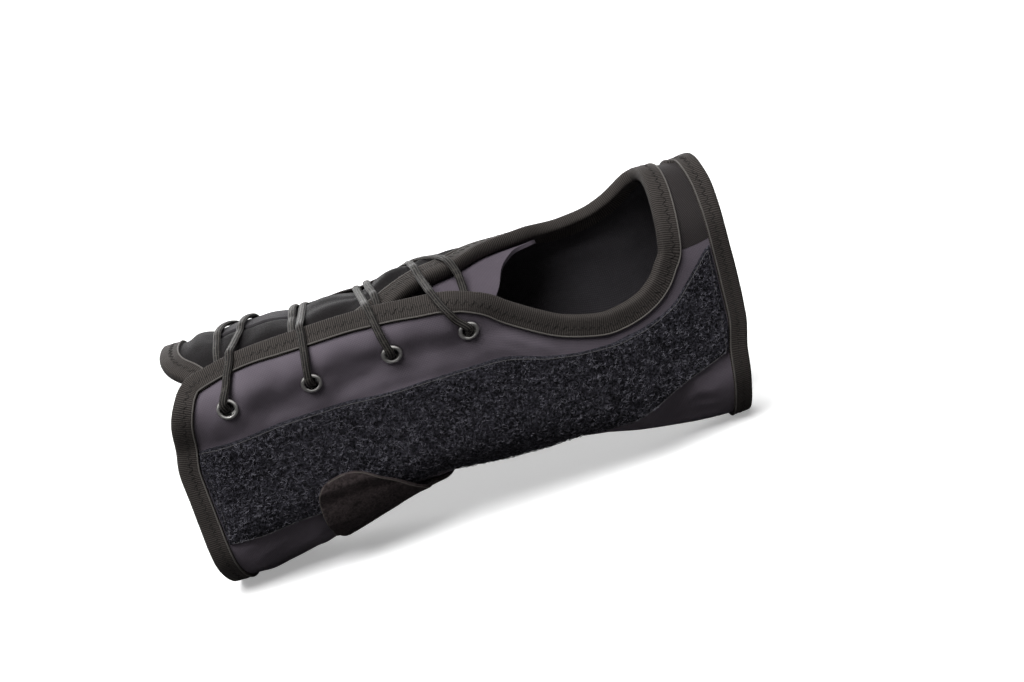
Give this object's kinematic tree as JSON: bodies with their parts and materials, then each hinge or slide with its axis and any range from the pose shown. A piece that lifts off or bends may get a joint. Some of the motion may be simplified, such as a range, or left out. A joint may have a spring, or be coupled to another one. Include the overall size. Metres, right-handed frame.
{
  "type": "wrist splint",
  "caption": "Laced wrist splint for the left hand: soft shell with a thumb hole, elastic laces over a back opening, palm stay and hook tab.",
  "frame": {"origin": "on the flat little-finger border of the rear edge tape, where the splint stands, under the arm opening", "axes": "+X along the forearm toward the fingers, +Z toward the thumb side, -Y toward the palm side"},
  "size_m": [0.2079, 0.0788, 0.1012],
  "materials": {
    "laminate_fabric": "matt knitted face on foam",
    "edge_tape": "ribbed knitted tape",
    "dark_nickel": "polished dark nickel",
    "elastic_cord": "braided cord",
    "lining_fabric": "smooth lining knit",
    "stay_aluminium": "mill finish",
    "stay_plastic": "matt",
    "loop_pile": "unbroken loop pile",
    "hook_fabric": "moulded hooks"
  },
  "bodies": {
    "shell": {"palm_panel": "laminate_fabric", "dorsal_hand_panel": "laminate_fabric", "thumb_web_strap": "laminate_fabric", "tongue": "lining_fabric", "palm_stay": "stay_aluminium", "pile_panel": "loop_pile", "tape_palm_rear": "edge_tape", "tape_lacing_edge": "edge_tape", "tape_thumb_hole": "edge_tape", "tape_web_hole_edge": "edge_tape", "tape_web_front": "edge_tape", "tape_palm_front": "edge_tape", "tape_hand_front": "edge_tape", "tape_hand_edge": "edge_tape", "eyelet_1": "dark_nickel", "eyelet_2": "dark_nickel", "eyelet_3": "dark_nickel", "eyelet_4": "dark_nickel", "washer_1": "dark_nickel", "washer_2": "dark_nickel", "washer_3": "dark_nickel", "washer_4": "dark_nickel", "lace_knot_1": "elastic_cord", "lace_knot_2": "elastic_cord", "lace_knot_3": "elastic_cord", "lace_knot_4": "elastic_cord", "lace_1": "elastic_cord", "lace_2": "elastic_cord", "lace_3": "elastic_cord", "lace_4": "elastic_cord"},
    "flap": {"dorsal_flap": "laminate_fabric", "tape_flap_rear": "edge_tape", "tape_flap_edge": "edge_tape", "back_stay": "stay_plastic", "back_stay_pocket": "lining_fabric", "blank_patch": "lining_fabric", "pull_strap": "edge_tape", "lace_cover": "edge_tape"},
    "tab": {"hook_tab": "edge_tape", "hook_face": "hook_fabric"}
  },
  "joints": [
    {"name": "dorsal_flap_open", "type": "hinge", "parent": "shell", "child": "flap", "pos_m": [0, 0.0019, -0.001], "axis": [-0.9848, 0, -0.1736], "range_deg": [0, 20], "deforming": ["lace_1", "lace_2", "lace_3", "lace_4"]},
    {"name": "hook_tab_peel", "type": "hinge", "parent": "shell", "child": "tab", "pos_m": [0.062, 0.0019, 0.003], "axis": [1, 0, 0], "range_deg": [0, 95]}
  ]
}
